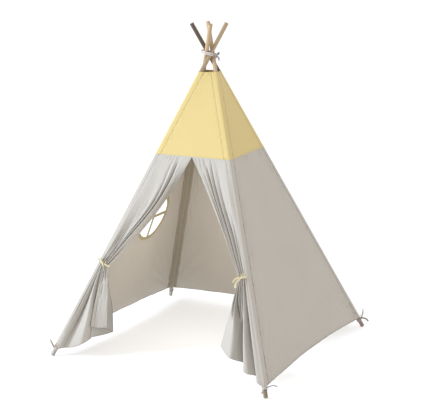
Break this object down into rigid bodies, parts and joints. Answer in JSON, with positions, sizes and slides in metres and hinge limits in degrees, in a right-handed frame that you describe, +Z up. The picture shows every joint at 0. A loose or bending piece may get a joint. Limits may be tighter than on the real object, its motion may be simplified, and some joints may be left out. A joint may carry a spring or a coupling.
{
  "type": "kids teepee tent",
  "caption": "Child's floor teepee: crossed wooden poles lashed at the top, a sewn two-colour cover with a round side window, and front curtains tied back.",
  "frame": {"origin": "on the floor, at the middle of the object's outline seen from above", "axes": "+Z up; -Y faces the doorway; +X to the right of someone who looks into the doorway"},
  "size_m": [1.2755, 1.1962, 1.6054],
  "materials": {
    "pale_wood": "smooth unvarnished pine",
    "grey_cotton": "plain-weave cotton",
    "yellow_cotton": "plain-weave cotton",
    "olive_tape": "woven binding tape",
    "cream_ribbon": "woven ribbon",
    "white_tape": "woven cotton tape",
    "aluminium": "plain tube"
  },
  "bodies": {
    "apex": {"apex_lashing": "white_tape"},
    "front_left_leg": {"front_left_pole_lower": "pale_wood", "front_left_pole_upper": "pale_wood", "front_left_ferrule": "aluminium", "front_left_sleeve": "grey_cotton", "front_left_corner_tie": "white_tape", "front_top_front_left": "yellow_cotton", "left_wall_front_left": "grey_cotton", "left_top_front_left": "yellow_cotton", "front_left_curtain": "grey_cotton", "front_left_tie_back": "cream_ribbon"},
    "front_right_leg": {"front_right_pole_lower": "pale_wood", "front_right_pole_upper": "pale_wood", "front_right_ferrule": "aluminium", "front_right_sleeve": "grey_cotton", "front_right_corner_tie": "white_tape", "front_top_front_right": "yellow_cotton", "right_wall_front_right": "grey_cotton", "right_top_front_right": "yellow_cotton", "front_right_curtain": "grey_cotton", "front_right_tie_back": "cream_ribbon"},
    "back_right_leg": {"back_right_pole_lower": "pale_wood", "back_right_pole_upper": "pale_wood", "back_right_ferrule": "aluminium", "back_right_sleeve": "grey_cotton", "back_right_corner_tie": "white_tape", "right_wall_back_right": "grey_cotton", "right_top_back_right": "yellow_cotton", "back_wall_back_right": "grey_cotton", "back_top_back_right": "yellow_cotton"},
    "back_left_leg": {"back_left_pole_lower": "pale_wood", "back_left_pole_upper": "pale_wood", "back_left_ferrule": "aluminium", "back_left_sleeve": "grey_cotton", "back_left_corner_tie": "white_tape", "back_wall_back_left": "grey_cotton", "back_top_back_left": "yellow_cotton", "left_wall_back_left": "grey_cotton", "left_top_back_left": "yellow_cotton", "window_binding": "olive_tape", "window_level_ribbon": "olive_tape", "window_upright_ribbon": "olive_tape"}
  },
  "joints": [
    {"name": "front_left_fold", "type": "hinge", "parent": "apex", "child": "front_left_leg", "pos_m": [0, 0, 1.453], "axis": [0.6884, -0.7253, 0], "range_deg": [0, 23.7], "deforming": ["front_top_front_left", "left_wall_front_left", "left_top_front_left", "front_left_curtain"]},
    {"name": "front_right_fold", "type": "hinge", "parent": "apex", "child": "front_right_leg", "pos_m": [0, 0, 1.453], "axis": [0.6884, 0.7253, 0], "range_deg": [0, 23.7], "deforming": ["front_top_front_right", "right_wall_front_right", "right_top_front_right", "front_right_curtain"]},
    {"name": "back_right_fold", "type": "hinge", "parent": "apex", "child": "back_right_leg", "pos_m": [0, 0, 1.453], "axis": [-0.6884, 0.7253, 0], "range_deg": [0, 23.7], "deforming": ["right_wall_back_right", "right_top_back_right", "back_wall_back_right", "back_top_back_right"]},
    {"name": "back_left_fold", "type": "hinge", "parent": "apex", "child": "back_left_leg", "pos_m": [0, 0, 1.453], "axis": [-0.6884, -0.7253, 0], "range_deg": [0, 23.7], "deforming": ["back_wall_back_left", "back_top_back_left", "left_wall_back_left", "left_top_back_left", "window_binding", "window_level_ribbon", "window_upright_ribbon"]}
  ],
  "couplings": [
    {"joint": "front_right_fold", "follows": "front_left_fold", "ratio": 1},
    {"joint": "back_right_fold", "follows": "front_left_fold", "ratio": 1},
    {"joint": "back_left_fold", "follows": "front_left_fold", "ratio": 1}
  ]
}
